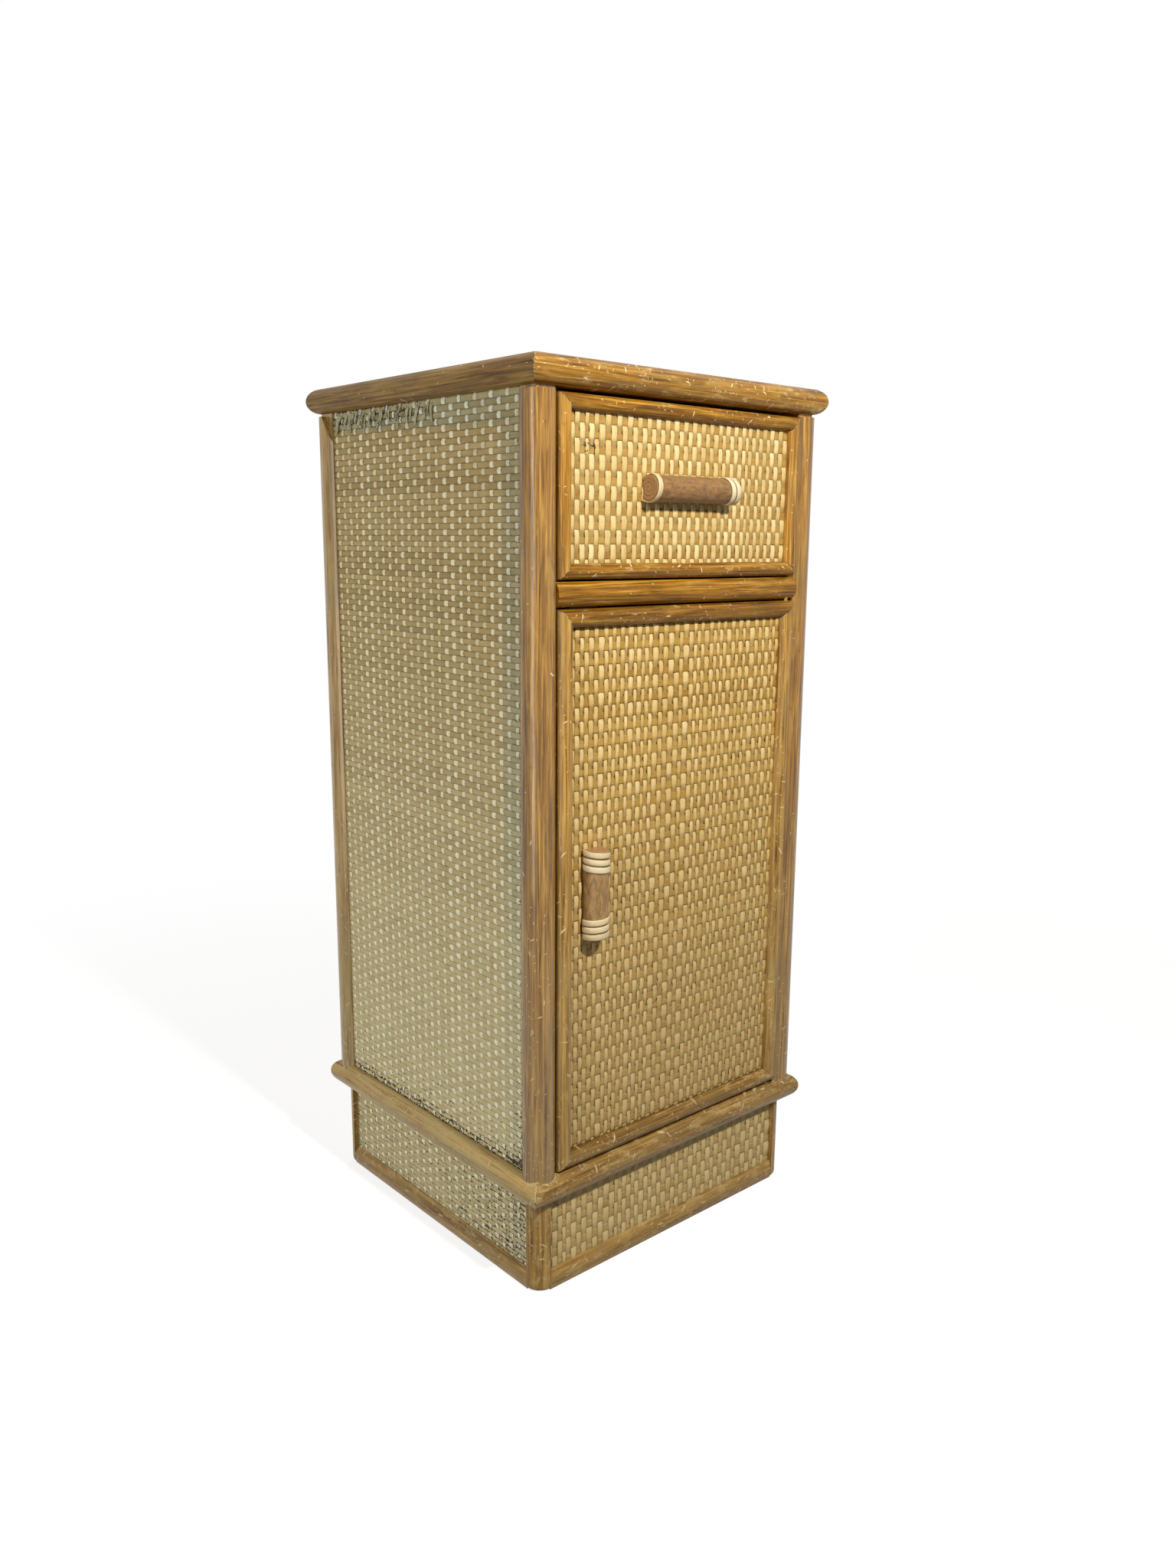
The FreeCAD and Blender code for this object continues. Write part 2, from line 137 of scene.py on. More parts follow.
# Poles: shades of their mottle, and the rings of their sawn ends
pole_levels = ((0.30, 0.135), (0.48, 0.300), (0.68, 0.480))
rings_per_metre = 330.0
ring_waver = 0.0018

# Strands: scales of their noise along, across and from one to the next, the tint of their painted
# shade and the tone of their specks
fibre_scale = (55.0, 6.0, 80.0)
patch_scale = (70.0, 50.0, 0.0)
speck_scale = (330.0, 1.2, 200.0)
cane_scale = (40.0, 7.0, 40.0)
shade_tint = (0.80, 0.92, 1.12)
speck_tone = (0.040, 0.028, 0.014)

# Weave: fine strands lie side by side, cross strands run over and under them
fine_thickness = 0.0011
cross_thickness = 0.0009
float_bias = 0.6
strand_overlap = 1.06
strand_sway = 0.0012
sheet_middle = 0.00145
drift_knots = 9
drift_share = 0.6
width_drift = 0.3
width_limits = (0.66, 1.36)
cross_spread = 0.03
cross_width_spread = 0.10
cross_width_limits = (0.75, 1.2)
cross_steps = 2
row_share = 0.96

# Section of a strand: places across it, those of its upper face first
section_across = np.array([-1.0, -0.6, 0.0, 0.6, 1.0, 0.8, -0.8])
section_top_count = 5
section_top = np.arange(len(section_across)) < section_top_count

# Age, grime and painted shade of the weave: heights, runs along X or Y and depths under the top
# that they fade over, and blots on the fronts as X, Z and half sizes
# Painted shade on the door, darker towards the floor
door_shade_heights = (0.10, 0.50)
dull_heights = (0.10, 0.52)
bleach_heights = (0.12, 0.62)
# Painted shade, cool and grey: under the top board and beside the front post
top_shade_depth = 0.029
top_shade_taper = 0.009
top_shade_run = (-0.14, 0.14)
post_shade_run = (-0.126, -0.100)
post_shade_heights = (0.20, 0.50)
torn_side = (-0.153, -0.150)
torn_depths = (0.010, 0.019)
torn_run = (-0.05, 0.03)
foot_dirt_heights = (0.08, 0.22)
# Painted shade as dark specks beside the front post
post_speck_shade_run = (-0.136, -0.112)
band_dirt_heights = (0.108, 0.120)
door_dirt_heights = (0.11, 0.30)
door_blot = (-0.035, 0.235, 0.055, 0.030)
drawer_blot = (-0.102, 0.687, 0.014, 0.009)
plinth_browning = 0.75
plinth_front_age = 0.28
plinth_side_age = 0.60
plinth_corner_run = (-0.14, 0.02)
plinth_corner_width = (-0.14, -0.10)
plinth_left_side = (-0.152, -0.149)
plinth_foot_heights = (0.01, 0.05)

# Torn strands under the left edge of the top, from the back forwards
torn_count = 46
torn_samples = 8
torn_back = 0.128
torn_reach = 0.15
torn_lean = 0.22
torn_start = 0.001
torn_start_spread = 0.006
torn_lengths = (0.006, 0.017)
torn_curls = (0.0006, 0.0032)
torn_half_widths = (0.0008, 0.0022)
torn_half_thickness = 0.00018
torn_wave = 0.002
torn_inset = 0.0006

# Cane binding on the handles
cane_width = 0.0054
cane_width_spread = 0.04
cane_pitch = 0.006
cane_margin = 0.0006
cane_thickness = 0.0009
cane_edge_drop = 0.5
cane_lift = 0.00002
cane_samples = 40
handle_radius = 0.0104
handle_proud = 0.006


# Node trees

class Tree:
    """The nodes of a new material, or of a world, built with short calls."""

    def __init__(self, name, world=None):
        self.owner = world or bpy.data.materials.new(name)
        self.owner.use_nodes = True
        self.nodes = self.owner.node_tree.nodes
        self.links = self.owner.node_tree.links

    def put(self, socket, value):
        """Link an output to an input, or set the input to a number or colour."""
        if isinstance(value, bpy.types.NodeSocket):
            self.links.new(value, socket)
        elif hasattr(value, "__len__") and len(value) == 3 and len(socket.default_value) == 4:
            socket.default_value = (*value, 1.0)
        else:
            socket.default_value = value

    def node(self, kind, inputs, **settings):
        """The outputs of a new node, once its settings are made and its inputs linked or set."""
        node = self.nodes.new(kind)
        for name, value in settings.items():
            setattr(node, name, value)
        for name, value in inputs.items():
            self.put(node.inputs[name], value)
        return node.outputs

    def math(self, operation, a, b=0.0):
        return self.node("ShaderNodeMath", {0: a, 1: b}, operation=operation)[0]

    def chain(self, operation, first, *others):
        """One operation on all values in turn."""
        for value in others:
            first = self.math(operation, first, value)
        return first

    def add(self, *values):
        return self.chain("ADD", *values)

    def times(self, *values):
        return self.chain("MULTIPLY", *values)

    def less(self, a, b):
        return self.math("SUBTRACT", a, b)

    def size(self, value):
        return self.math("ABSOLUTE", value)

    def smooth(self, value, low, high):
        """0 below low and 1 above high, with a smooth step between."""
        inputs = {"Value": value, "From Min": low, "From Max": high}
        return self.node("ShaderNodeMapRange", inputs, interpolation_type="SMOOTHSTEP")["Result"]

    def fall(self, value, low, high):
        """1 below low and 0 above high, with a smooth step between."""
        return self.less(1.0, self.smooth(value, low, high))

    def place(self):
        """The point's place on its piece, in metres."""
        return self.nodes.new("ShaderNodeTexCoord").outputs["Object"]

    def facing(self):
        """The parts of the flat face's own normal."""
        return self.apart(self.nodes.new("ShaderNodeNewGeometry").outputs["True Normal"])

    def attribute(self, name, output="Fac"):
        return self.node("ShaderNodeAttribute", {}, attribute_name=name)[output]

    def apart(self, vector):
        return self.node("ShaderNodeSeparateXYZ", {0: vector})

    def together(self, x, y, z):
        return self.node("ShaderNodeCombineXYZ", {0: x, 1: y, 2: z})[0]

    def vector(self, operation, a, b):
        return self.node("ShaderNodeVectorMath", {0: a, 1: b}, operation=operation)[0]

    def scaled(self, vector, factors):
        return self.vector("MULTIPLY", vector, factors)

    def noise(self, vector, scale=1.0, detail=3.0, roughness=0.55, distortion=0.0):
        inputs = {
            "Vector": vector, "Scale": scale, "Detail": detail,
            "Roughness": roughness, "Distortion": distortion,
        }
        return self.node("ShaderNodeTexNoise", inputs)["Fac"]

    def ramp(self, factor, *stops):
        """A colour ramp with stops (place, colour)."""
        node = self.nodes.new("ShaderNodeValToRGB")
        self.put(node.inputs[0], factor)
        elements = node.color_ramp.elements
        while len(elements) < len(stops):
            elements.new(0.5)
        for element, (place, colour) in zip(elements, stops):
            element.position = place
            element.color = (*colour, 1.0)
        return node.outputs["Color"]

    def mix(self, factor, a, b, blend="MIX"):
        inputs = {"Factor": factor, 6: a, 7: b}
        return self.node("ShaderNodeMix", inputs, data_type="RGBA", blend_type=blend)[2]

    def bump(self, height, strength, distance):
        inputs = {"Height": height, "Strength": strength, "Distance": distance}
        return self.node("ShaderNodeBump", inputs)["Normal"]

    def finish(self, colour, roughness, normal, **fixed):
        """Join the layers to the shader; fixed values go on its own sockets."""
        shader = self.nodes["Principled BSDF"]
        self.put(shader.inputs["Base Color"], colour)
        self.put(shader.inputs["Roughness"], roughness)
        self.put(shader.inputs["Normal"], normal)
        for name, value in fixed.items():
            shader.inputs[name.replace("_", " ")].default_value = value
        return self.owner


# Wood

def shaded(colour, factor):
    """A colour made lighter or darker."""
    return tuple(part * factor for part in colour)


def grain_place(t, along):
    """The place with its first axis along the grain: X, Y, Z, or else round the foot."""
    x, y, z = t.apart(t.place())
    orders = {"X": (x, y, z), "Y": (y, x, z), "Z": (z, x, y)}
    if along in orders:
        return t.together(*orders[along])
    normal = t.facing()
    faces_x = t.math("GREATER_THAN", t.size(normal[0]), t.size(normal[1]))
    inputs = {"Factor": faces_x, 4: t.together(*orders["X"]), 5: t.together(*orders["Y"])}
    return t.node("ShaderNodeMix", inputs, data_type="VECTOR")[1]


def mitre_line(t, mitre):
    """1 on the thin dark joint of a mitre, from the frame's plane, middle and half sizes."""
    plane, middle, half = mitre
    coordinates = dict(zip("XYZ", t.apart(t.place())))
    depths = []
    for axis, centre, reach in zip(plane, middle, half):
        out = t.size(t.less(coordinates[axis], centre))
        depths.append(t.less(out, reach))
    return t.fall(t.size(t.less(depths[0], depths[1])), *mitre_edges)


def nick_strokes(t, flat, cell, share):
    """Short curved strokes, one in a share of the cells of a random pattern on flat places."""
    spread = t.scaled(flat, (1 / cell, 1 / cell, 0.0))
    inputs = {"Vector": spread, "Scale": 1.0}
    cells = t.node("ShaderNodeTexVoronoi", inputs, voronoi_dimensions="2D")
    x, y, _ = t.apart(t.vector("SUBTRACT", spread, cells["Position"]))
    pick, turn, bend = t.apart(cells["Color"])
    angle = t.times(turn, 2 * math.pi)
    cosine = t.math("COSINE", angle)
    sine = t.math("SINE", angle)
    along = t.add(t.times(x, cosine), t.times(y, sine))
    aside = t.less(t.times(y, cosine), t.times(x, sine))
    curve = t.times(t.less(bend, 0.5), nick_bend, along, along)
    thin = t.fall(t.size(t.add(aside, curve)), *nick_half_widths)
    short = t.fall(t.size(along), *nick_half_lengths)
    return t.times(thin, short, t.math("LESS_THAN", pick, share))


def stained_wood(
    name, along, shade=1.0, wear=0.5, bleach=0.0, gloss=0.26, shine=0.24, mitre=None
):
    """Honey-brown stain on a streaky grain, with nicks, rubbed patches and a worn foot."""
    t = Tree(name)
    place = t.place()
    grain = grain_place(t, along)
    low = t.fall(t.apart(place)[2], *wear_heights)
    streaks = t.noise(t.scaled(grain, streak_scale), detail=5.0, roughness=0.62, distortion=0.7)
    pores = t.noise(t.scaled(grain, pore_scale), detail=2.0)
    blotch = t.noise(t.scaled(grain, blotch_scale), detail=5.0, roughness=0.6)
    golden = t.noise(t.scaled(grain, golden_scale), detail=4.0, distortion=0.6)
    colour = t.ramp(streaks, *((stop, shaded(tone, shade)) for stop, tone in grain_tones))
    colour = t.mix(t.times(t.smooth(pores, 0.52, 0.68), 0.65), colour, shaded(pore_tone, shade))
    colour = t.mix(t.times(t.smooth(blotch, 0.45, 0.70), 0.55), colour, shaded(blotch_tone, shade))
    colour = t.mix(t.times(t.smooth(golden, 0.50, 0.74), 0.45), colour, shaded(golden_tone, shade))
    run, side, rise = t.apart(grain)
    across = t.less(rise, t.times(side, nick_slant)) if along == "Z" else rise
    flat = t.together(run, across, 0.0)
    crowd = t.smooth(t.noise(place, scale=24.0, detail=2.0), 0.36, 0.66)
    share = t.times(t.add(wear, t.times(low, 0.75)), t.add(0.15, crowd))
    small_cell, medium_cell, large_cell = nick_cells
    small = nick_strokes(t, flat, small_cell, t.times(share, 0.8))
    medium = nick_strokes(t, flat, medium_cell, t.times(share, 0.5))
    large = nick_strokes(t, flat, large_cell, t.times(share, low, 0.6))
    nicks = t.chain("MAXIMUM", small, medium, large)
    rub_noise = t.noise(t.scaled(grain, rub_scale), detail=6.0, roughness=0.72)
    rubbed = t.smooth(t.add(rub_noise, t.times(t.add(wear, t.times(low, 0.4)), 0.16)), 0.66, 0.84)
    worn = t.math("MAXIMUM", t.times(nicks, 0.85), t.times(rubbed, 0.75))
    colour = t.mix(worn, colour, t.mix(nicks, rubbed_tone, nick_tone))
    pale_streaks = t.smooth(t.add(streaks, t.times(blotch, 0.4)), 0.40, 0.95)
    faded = t.times(t.add(bleach, t.times(low, 0.22)), pale_streaks)
    colour = t.mix(faded, colour, faded_tone)
    colour = t.mix(t.times(low, 0.30), colour, foot_tone)
    grime = t.smooth(t.noise(place, scale=95.0, detail=5.0, roughness=0.7), 0.60, 0.74)
    colour = t.mix(t.times(grime, 0.4), colour, grime_tone)
    if mitre:
        chipped = t.smooth(t.noise(place, scale=260.0, detail=3.0), 0.44, 0.56)
        joint = t.mix(t.times(chipped, wear), joint_tone, chip_tone)
        colour = t.mix(t.times(mitre_line(t, mitre), 0.85), colour, joint)
    roughness = t.add(gloss, t.times(t.add(worn, blotch), 0.16))
    relief = t.less(t.add(t.times(pores, 0.4), t.times(streaks, 0.3)), t.times(nicks, 0.8))
    return t.finish(colour, roughness, t.bump(relief, 0.4, 0.00005), Specular_IOR_Level=shine)


def board_wood(name, along, covered=None):
    """Raw plywood, darker where the weave covers it, as painted shade seen through the weave: an
    axis and how far out its face is.
    """
    t = Tree(name)
    place = t.place()
    grain = grain_place(t, along)
    bands = t.noise(t.scaled(grain, (5.0, 60.0, 60.0)), detail=4.0, distortion=1.2)
    lines = t.noise(t.scaled(grain, (30.0, 900.0, 900.0)), detail=2.0)
    colour = t.ramp(
        bands,
        (0.30, (0.330, 0.200, 0.095)),
        (0.55, (0.470, 0.310, 0.160)),
        (0.75, (0.560, 0.390, 0.215)),
    )
    colour = t.mix(t.times(t.smooth(lines, 0.55, 0.75), 0.4), colour, (0.240, 0.135, 0.060))
    stain = t.smooth(t.noise(place, scale=14.0, detail=5.0), 0.60, 0.78)
    colour = t.mix(t.times(stain, 0.35), colour, (0.200, 0.120, 0.060))
    # Painted shade where the weave covers the board, seen through its gaps
    if covered:
        axis, reach = covered
        inner, outer = (reach - edge for edge in cover_edges)
        out = t.size(t.apart(place)["XYZ".index(axis)])
        colour = t.mix(t.smooth(out, inner, outer), colour, (0.270, 0.170, 0.060))
    roughness = t.add(0.55, t.times(bands, 0.25))
    return t.finish(colour, roughness, t.bump(lines, 0.25, 0.0003))


def pole_wood(name, along, centre, shade, warm):
    """Brown mottled rattan pole with a spiral on its sawn ends."""
    t = Tree(name)
    place = t.place()
    grain = grain_place(t, along)
    mottle_place = t.scaled(grain, (110.0, 260.0, 260.0))
    mottle = t.noise(mottle_place, detail=6.0, roughness=0.68, distortion=0.5)
    fibres = t.noise(t.scaled(grain, (50.0, 2200.0, 2200.0)), detail=2.0)
    colour = t.ramp(mottle, *((stop, shaded(warm, level * shade)) for stop, level in pole_levels))
    colour = t.mix(t.times(t.smooth(fibres, 0.55, 0.72), 0.4), colour, (0.110, 0.050, 0.018))
    _, across, up = t.apart(t.vector("SUBTRACT", grain, centre))
    angle = t.math("DIVIDE", t.math("ARCTAN2", up, across), 2 * math.pi)
    out = t.math("SQRT", t.add(t.times(across, across), t.times(up, up)))
    uneven = t.add(out, t.times(t.noise(place, scale=160.0, detail=2.0), ring_waver))
    turns = t.math("FRACT", t.add(t.times(uneven, rings_per_metre), angle))
    ring = t.smooth(t.size(t.less(turns, 0.5)), 0.24, 0.46)
    spots = t.smooth(t.noise(place, scale=1600.0, detail=1.0), 0.55, 0.65)
    sawn = t.mix(t.times(ring, 0.7), (0.450, 0.262, 0.112), (0.205, 0.098, 0.036))
    sawn = t.mix(t.times(spots, 0.45), sawn, (0.130, 0.060, 0.024))
    on_end = t.smooth(t.size(t.facing()["XYZ".index(along)]), 0.6, 0.85)
    colour = t.mix(on_end, colour, sawn)
    relief = t.add(t.times(fibres, 0.6), t.times(mottle, 0.4))
    roughness = t.add(0.36, t.times(mottle, 0.2))
    return t.finish(colour, roughness, t.bump(relief, 0.4, 0.0004), Specular_IOR_Level=0.4)


# Strands

def strand_material(
    name, pale, middle, dark, deep,
    gloss=0.42, specular=0.30, edge_shade=0.36, aged=(0.780, 0.680, 0.400),
):
    """Split rattan: fibres along it, a tone of its own, painted shade at its edges, at its floats'
    lower ends and where it dives.
    """
    t = Tree(name)
    along, across, shade_share = t.apart(t.attribute("strand", "Vector"))
    tone = t.attribute("tone")
    age = t.attribute("age")
    grime = t.attribute("grime")
    strand_place = t.together(along, across, tone)
    fibres = t.noise(t.scaled(strand_place, fibre_scale), detail=3.0, roughness=0.65)
    patches = t.noise(t.scaled(t.together(along, tone, 0.0), patch_scale), detail=3.0)
    shade = t.add(t.times(tone, 0.18), t.times(patches, 0.32), t.times(fibres, 0.54))
    colour = t.ramp(shade, (0.38, dark), (0.53, middle), (0.67, pale))
    # Painted shade: darker edges, the floats' lower ends that face away from the lamp, and the
    # dives
    edge = t.smooth(t.size(across), 0.45, 1.0)
    shade_noise = t.noise(t.place(), scale=140.0, detail=4.0)
    painted_shade = t.times(t.add(t.times(edge, edge_shade), t.times(shade_share, 0.80)), t.add(0.45, shade_noise))
    colour = t.mix(painted_shade, colour, deep)
    # dim: painted shade darker towards the floor on the door, an even browning on the plinth,
    # darker torn ends
    colour = t.mix(t.times(t.attribute("dim"), 0.38), colour, deep)
    mottle = t.smooth(t.noise(t.place(), scale=900.0, detail=3.0, roughness=0.6), 0.50, 0.75)
    colour = t.mix(t.times(mottle, 0.30), colour, deep)
    colour = t.mix(t.times(age, t.add(0.35, patches)), colour, aged)
    # Painted shade: a cool grey tint under the top board, beside the front post and on the torn
    # ends
    colour = t.mix(t.attribute("grey"), colour, shade_tint, "MULTIPLY")
    speck_noise = t.noise(t.scaled(strand_place, speck_scale), detail=3.0)
    dirty = t.add(speck_noise, t.times(grime, 0.34), t.times(edge, 0.15))
    specks = t.times(t.smooth(dirty, 0.74, 0.84), t.smooth(grime, 0.02, 0.25))
    colour = t.mix(specks, colour, speck_tone)
    roughness = t.add(gloss, t.times(t.add(fibres, age), 0.18))
    return t.finish(colour, roughness, t.bump(fibres, 0.3, 0.0002), Specular_IOR_Level=specular)


def cane_material():
    """Pale glossy cane peel with fine lines along it and darkened edges."""
    t = Tree("cane_peel")
    along, across, _ = t.apart(t.attribute("strand", "Vector"))
    tone = t.attribute("tone")
    fibres = t.noise(t.scaled(t.together(along, across, tone), cane_scale), detail=3.0)
    colour = t.ramp(
        t.add(t.times(fibres, 0.7), t.times(tone, 0.3)),
        (0.26, (0.440, 0.312, 0.152)),
        (0.46, (0.690, 0.553, 0.316)),
        (0.72, (0.850, 0.735, 0.500)),
    )
    edge = t.smooth(t.size(across), 0.80, 1.0)
    colour = t.mix(t.times(edge, 0.65), colour, (0.120, 0.062, 0.022))
    roughness = t.add(0.26, t.times(fibres, 0.2))
    return t.finish(colour, roughness, t.bump(fibres, 0.25, 0.0002))


# Metal and plastic

def metal(name, colour, dull, roughness):
    """Worn metal: brushed lines and darker tarnish."""
    t = Tree(name)
    place = t.place()
    brushed = t.noise(t.scaled(place, (300.0, 300.0, 3000.0)), detail=2.0)
    tarnish = t.smooth(t.noise(place, scale=180.0, detail=5.0), 0.45, 0.68)
    shown = t.mix(tarnish, colour, dull)
    uneven = t.add(roughness, t.times(t.add(brushed, tarnish), 0.15))
    return t.finish(shown, uneven, t.bump(brushed, 0.2, 0.0001), Metallic=1.0)


def catch_plastic():
    """Brown moulded plastic, finely grained, rubbed paler in patches."""
    t = Tree("catch_plastic")
    place = t.place()
    speckle = t.noise(place, scale=2500.0, detail=1.0)
    patches = t.noise(place, scale=120.0, detail=4.0)
    colour = t.ramp(patches, (0.35, (0.045, 0.022, 0.009)), (0.70, (0.110, 0.058, 0.026)))
    roughness = t.add(0.42, t.times(patches, 0.2))
    return t.finish(colour, roughness, t.bump(speckle, 0.2, 0.0001))


# Meshes of strands

def smoothstep(x, low, high):
    """0 below low and 1 above high, with a smooth step between."""
    share = np.clip((x - low) / (high - low), 0.0, 1.0)
    return share * share * (3 - 2 * share)


def fall(x, low, high):
    """1 below low and 0 above high, with a smooth step between."""
    return 1 - smoothstep(x, low, high)


def faces_out(points):
    """Whether faces wound across the section and then along the strand look outwards."""
    middle = points.shape[1] // 2
    ring = points[0, middle]
    face = np.cross(ring[3] - ring[2], points[0, middle - 1, 2] - ring[2])
    return face @ (ring[2] - ring.mean(0)) < 0


def strand_mesh(name, points, values):
    """One mesh of closed strips: points by strand, sample along it and section, and attributes."""
    count, samples, section, _ = points.shape
    index = np.arange(count * samples * section).reshape(count, samples, section)
    here, ahead = index[:, :-1], index[:, 1:]
    quads = np.stack([here, np.roll(here, -1, 2), np.roll(ahead, -1, 2), ahead], -1).reshape(-1, 4)
    caps = np.concatenate([index[:, 0, ::-1], index[:, -1]])
    flat = flat_layout(count, samples, section)
    if not faces_out(points):
        quads, caps = quads[:, ::-1], caps[:, ::-1]
        flat = [corners[:, ::-1] for corners in flat]
    corners = np.concatenate([quads.ravel(), caps.ravel()]).astype(np.int32)
    cap_starts = len(quads) * 4 + np.arange(len(caps)) * section
    starts = np.concatenate([np.arange(len(quads)) * 4, cap_starts])
    mesh = bpy.data.meshes.new(name)
    mesh.vertices.add(index.size)
    mesh.vertices.foreach_set("co", points.astype(np.float32).ravel())
    mesh.loops.add(len(corners))
    mesh.loops.foreach_set("vertex_index", corners)
    mesh.polygons.add(len(starts))
    mesh.polygons.foreach_set("loop_start", starts.astype(np.int32))
    mesh.polygons.foreach_set("use_smooth", np.ones(len(starts), bool))
    layer = mesh.uv_layers.new(name="OFBake")
    layer.uv.foreach_set("vector", np.concatenate([c.ravel() for c in flat]).astype(np.float32))
    for key, value in values.items():
        kind, field = ("FLOAT_VECTOR", "vector") if value.ndim == 4 else ("FLOAT", "value")
        layer = mesh.attributes.new(key, kind, "POINT")
        layer.data.foreach_set(field, value.astype(np.float32).ravel())
    mesh.update(calc_edges=True)
    return mesh


def flat_layout(count, samples, section):
    """Flat places of the quads' and the caps' corners: a row for each strand, running along it."""
    row, step, turn = np.meshgrid(
        np.arange(count), np.arange(samples - 1), np.arange(section), indexing="ij"
    )
    quads = []
    for ahead, across in ((0, 0), (0, 1), (1, 1), (1, 0)):
        u = (step + ahead) / (samples - 1)
        v = (row + row_share * (turn + across) / section) / count
        quads.append(np.stack([u, v], -1))
    quads = np.stack(quads, -2).reshape(-1, 4, 2)
    turns = np.arange(section)
    caps = []
    for u, order in ((0.0, turns[::-1]), (1.0, turns)):
        v = (np.arange(count)[:, None] + row_share * order[None] / section) / count
        caps.append(np.stack([np.full(v.shape, u), v], -1))
    return quads, np.concatenate(caps)


def add_piece(name, mesh, material, body, slot, *nodes):
    """Put a mesh in the scene as a piece that rides on a body and stands for CAD nodes."""
    piece = bpy.data.objects.new(name, mesh)
    bpy.context.scene.collection.objects.link(piece)
    mesh.materials.append(material)
    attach(piece, body)
    if nodes:
        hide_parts(*nodes)


# Weave

@dataclass
class Panel:
    """A woven rectangle: a corner on its outer face, ways along both sets of strands, a way out."""

    corner: np.ndarray
    fine_way: np.ndarray
    fine_length: float
    cross_way: np.ndarray
    cross_length: float
    out: np.ndarray

    def at(self, s, t, h):
        """The point s along the fine strands, t across them and h above the outer face."""
        flat = self.corner + s[..., None] * self.fine_way + t[..., None] * self.cross_way
        return flat + h[..., None] * self.out


def uneven_edges(length, pitch, spread):
    """Edges of strands side by side over a length, with widths that drift and differ."""
    count = max(2, round(length / pitch))
    knots = np.linspace(0, count, drift_knots)
    drift = np.interp(np.arange(count), knots, rng.normal(0, spread * drift_share, drift_knots))
    widths = np.clip(1 + drift + rng.normal(0, spread, count), *width_limits)
    edges = np.concatenate([[0.0], np.cumsum(widths)])
    return edges / edges[-1] * length


def along_wave(centres, length, steps):
    """Places along a strand and its phase there, which grows by pi from crossing to crossing."""
    first = 2 * centres[0] - centres[1]
    last = 2 * centres[-1] - centres[-2]
    knots = np.concatenate([[first], centres, [last]])
    turns = np.arange(-1, len(centres) + 1)
    samples = np.arange((len(knots) - 1) * steps + 1) / steps
    places = np.interp(samples, np.arange(len(knots)), knots)
    places = np.unique(np.clip(places, 0, length).round(7))
    return places, math.pi * np.interp(places, knots, turns)


def wander(count, samples):
    """Random numbers that change slowly along each strand."""
    loose = rng.normal(size=(count, samples + 2))
    return 0.5 * loose[:, :-2] + loose[:, 1:-1] * 0.7 + 0.5 * loose[:, 2:]


def strand_vectors(run, shade_share=0.0):
    """For each point, its run along the strand, its place across it and its share of painted shade.
    """
    across = np.broadcast_to(section_across, run.shape)
    return np.stack([run, across, np.broadcast_to(shade_share, run.shape)], -1)


def per_strand(values, run):
    """One value for each strand, at all its points."""
    return np.broadcast_to(values[:, None, None], run.shape)


def weave_strands(panel, centres, widths, crossings, length, steps, shape, first_sign, across):
    """Points and attributes of one set of strands. across tells a cross strand from a fine one."""
    places, phase = along_wave(crossings, length, steps)
    count, samples = len(centres), len(places)
    sign = first_sign * (-1.0) ** np.arange(count)[:, None]
    flat, bias = shape.flat, shape.bias
    rise = np.tanh(flat * (sign * np.cos(phase)[None] + bias)) / math.tanh(flat * (1 + bias))
    rise = rise + shape.tilt * sign * np.sin(phase)[None]
    lift = 1 + shape.uneven * wander(count, samples)
    height = -sheet_middle + shape.amplitude * rise * lift
    drift = 1 + width_drift * shape.uneven * wander(count, samples)
    half = strand_overlap * widths[:, None] / 2 * (1 + shape.swell * rise) * drift
    # Share of painted shade: the lower ends of floats, which face down away from the lamp above,
    # and where the strand dives
    lower_end = shape.fade * smoothstep(-sign * np.sin(phase)[None], 0.30, 0.85)
    fade = np.maximum(lower_end, smoothstep(-rise, -0.1, 0.8))
    sway = strand_sway * shape.uneven * wander(count, samples)
    under = shape.thickness / 2
    profile = np.where(section_top, under - shape.crown * section_across**2, -under)
    lateral = centres[:, None, None] + sway[..., None] + half[..., None] * section_across
    run = np.broadcast_to(places[None, :, None], lateral.shape)
    tall = height[..., None] + profile
    points = panel.at(lateral, run, tall) if across else panel.at(run, lateral, tall)
    strand = strand_vectors(run, fade[..., None])
    return points, {"strand": strand, "tone": per_strand(rng.random(count), run)}


def even(amount):
    """Age or grime that is the same all over."""
    return lambda points: np.full(points.shape[:3], amount)


untouched = even(0.0)


def downwards(heights, amount, least=0.0):
    """A share that grows towards the floor: age, and painted shade on the door."""
    return lambda points: least + amount * fall(points[..., 2], *heights)


def side_shade(points):
    """Painted shade, cool and grey, just under the top board and beside the front post."""
    y, z = points[..., 1], points[..., 2]
    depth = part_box("side_woven_left")[1][2] - z
    reach = top_shade_depth - top_shade_taper * smoothstep(y, *top_shade_run)
    under_top = fall(depth, 0.75 * reach, reach)
    beside_post = fall(y, *post_shade_run) * (0.30 + 0.70 * smoothstep(z, *post_shade_heights))
    return np.maximum(under_top, beside_post)


